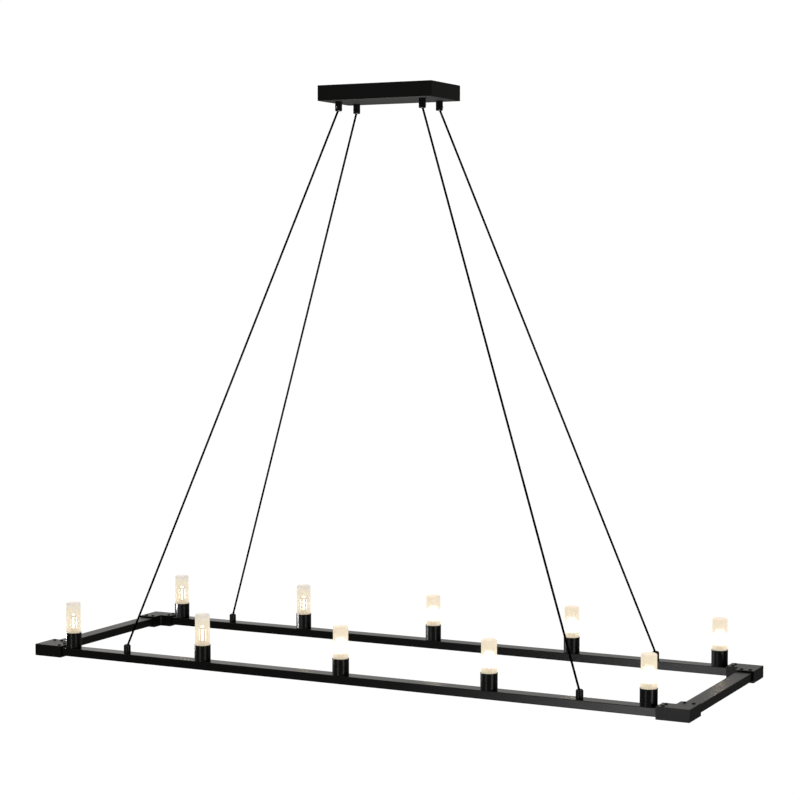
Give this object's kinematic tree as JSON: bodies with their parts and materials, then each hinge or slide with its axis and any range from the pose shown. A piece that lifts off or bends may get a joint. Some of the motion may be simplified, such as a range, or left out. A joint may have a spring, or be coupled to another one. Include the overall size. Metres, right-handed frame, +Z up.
{
  "type": "linear island pendant",
  "caption": "Black linear pendant: flat canopy, slanting cables and a level rectangular frame with upright frosted glass tube lamps in short cups along both long sides.",
  "frame": {"origin": "centre of the canopy's ceiling face, midway between the ceiling box screws", "axes": "+X along the length of the frame, -Y towards the near side, +Z up; the pendant hangs below the origin"},
  "size_m": [1.38, 0.438, 1.1316],
  "materials": {
    "black_coating": "satin black powder coat with a fine texture",
    "black_screws": "blackened screws",
    "bright_screws": "bright socket set screws",
    "zinc_steel": "zinc plated steel",
    "cable_sheath": "matt black cable sheath",
    "silicone": "translucent silicone",
    "ceramic": "white glazed ceramic",
    "terminal_plastic": "natural nylon",
    "frosted_glass": "acid-frosted glass",
    "bulb": "warm white light source with a clear cover"
  },
  "bodies": {
    "canopy_group": {"canopy": "black_coating", "ceiling_strap": "zinc_steel", "canopy_side_screw": "black_screws", "terminal_block": "terminal_plastic", "strap_screws": "zinc_steel", "cable_grips": "black_coating", "grip_set_screws": "bright_screws", "grip_nuts": "zinc_steel", "cable_tails": "cable_sheath", "cable_1": "cable_sheath", "cable_2": "cable_sheath", "cable_3": "cable_sheath", "cable_4": "cable_sheath"},
    "frame": {"bar_wiring_far": "cable_sheath", "bar_wiring_near": "cable_sheath", "corner_bracket_1": "black_coating", "corner_bracket_2": "black_coating", "corner_bracket_3": "black_coating", "corner_bracket_4": "black_coating", "corner_screws": "black_screws", "ferrule_nuts": "zinc_steel", "ferrules": "black_coating", "lamp_cup_01": "black_coating", "lamp_cup_02": "black_coating", "lamp_cup_03": "black_coating", "lamp_cup_04": "black_coating", "lamp_cup_05": "black_coating", "lamp_cup_06": "black_coating", "lamp_cup_07": "black_coating", "lamp_cup_08": "black_coating", "lamp_cup_09": "black_coating", "lamp_cup_10": "black_coating", "lampholders": "ceramic", "long_bar_far": "black_coating", "long_bar_near": "black_coating", "nipple_nuts": "zinc_steel", "nipples": "zinc_steel", "seat_rings": "silicone", "short_bar_left": "black_coating", "short_bar_right": "black_coating"},
    "shade_01": {"shade_01": "frosted_glass"},
    "bulb_01": {"bulb_01": "bulb"},
    "shade_02": {"shade_02": "frosted_glass"},
    "bulb_02": {"bulb_02": "bulb"},
    "shade_03": {"shade_03": "frosted_glass"},
    "bulb_03": {"bulb_03": "bulb"},
    "shade_04": {"shade_04": "frosted_glass"},
    "bulb_04": {"bulb_04": "bulb"},
    "shade_05": {"shade_05": "frosted_glass"},
    "bulb_05": {"bulb_05": "bulb"},
    "shade_06": {"shade_06": "frosted_glass"},
    "bulb_06": {"bulb_06": "bulb"},
    "shade_07": {"shade_07": "frosted_glass"},
    "bulb_07": {"bulb_07": "bulb"},
    "shade_08": {"shade_08": "frosted_glass"},
    "bulb_08": {"bulb_08": "bulb"},
    "shade_09": {"shade_09": "frosted_glass"},
    "bulb_09": {"bulb_09": "bulb"},
    "shade_10": {"shade_10": "frosted_glass"},
    "bulb_10": {"bulb_10": "bulb"}
  },
  "joints": [
    {"name": "height_adjust", "type": "slide", "parent": "canopy_group", "child": "frame", "axis": [0, 0, 1], "range_m": [0, 0.3], "deforming": ["cable_1", "cable_2", "cable_3", "cable_4"]},
    {"name": "shade_lift_01", "type": "slide", "parent": "frame", "child": "shade_01", "axis": [0, 0, 1], "range_m": [0, 0.06]},
    {"name": "bulb_pull_01", "type": "slide", "parent": "frame", "child": "bulb_01", "axis": [0, 0, 1], "range_m": [0, 0.012]},
    {"name": "shade_lift_02", "type": "slide", "parent": "frame", "child": "shade_02", "axis": [0, 0, 1], "range_m": [0, 0.06]},
    {"name": "bulb_pull_02", "type": "slide", "parent": "frame", "child": "bulb_02", "axis": [0, 0, 1], "range_m": [0, 0.012]},
    {"name": "shade_lift_03", "type": "slide", "parent": "frame", "child": "shade_03", "axis": [0, 0, 1], "range_m": [0, 0.06]},
    {"name": "bulb_pull_03", "type": "slide", "parent": "frame", "child": "bulb_03", "axis": [0, 0, 1], "range_m": [0, 0.012]},
    {"name": "shade_lift_04", "type": "slide", "parent": "frame", "child": "shade_04", "axis": [0, 0, 1], "range_m": [0, 0.06]},
    {"name": "bulb_pull_04", "type": "slide", "parent": "frame", "child": "bulb_04", "axis": [0, 0, 1], "range_m": [0, 0.012]},
    {"name": "shade_lift_05", "type": "slide", "parent": "frame", "child": "shade_05", "axis": [0, 0, 1], "range_m": [0, 0.06]},
    {"name": "bulb_pull_05", "type": "slide", "parent": "frame", "child": "bulb_05", "axis": [0, 0, 1], "range_m": [0, 0.012]},
    {"name": "shade_lift_06", "type": "slide", "parent": "frame", "child": "shade_06", "axis": [0, 0, 1], "range_m": [0, 0.06]},
    {"name": "bulb_pull_06", "type": "slide", "parent": "frame", "child": "bulb_06", "axis": [0, 0, 1], "range_m": [0, 0.012]},
    {"name": "shade_lift_07", "type": "slide", "parent": "frame", "child": "shade_07", "axis": [0, 0, 1], "range_m": [0, 0.06]},
    {"name": "bulb_pull_07", "type": "slide", "parent": "frame", "child": "bulb_07", "axis": [0, 0, 1], "range_m": [0, 0.012]},
    {"name": "shade_lift_08", "type": "slide", "parent": "frame", "child": "shade_08", "axis": [0, 0, 1], "range_m": [0, 0.06]},
    {"name": "bulb_pull_08", "type": "slide", "parent": "frame", "child": "bulb_08", "axis": [0, 0, 1], "range_m": [0, 0.012]},
    {"name": "shade_lift_09", "type": "slide", "parent": "frame", "child": "shade_09", "axis": [0, 0, 1], "range_m": [0, 0.06]},
    {"name": "bulb_pull_09", "type": "slide", "parent": "frame", "child": "bulb_09", "axis": [0, 0, 1], "range_m": [0, 0.012]},
    {"name": "shade_lift_10", "type": "slide", "parent": "frame", "child": "shade_10", "axis": [0, 0, 1], "range_m": [0, 0.06]},
    {"name": "bulb_pull_10", "type": "slide", "parent": "frame", "child": "bulb_10", "axis": [0, 0, 1], "range_m": [0, 0.012]}
  ]
}
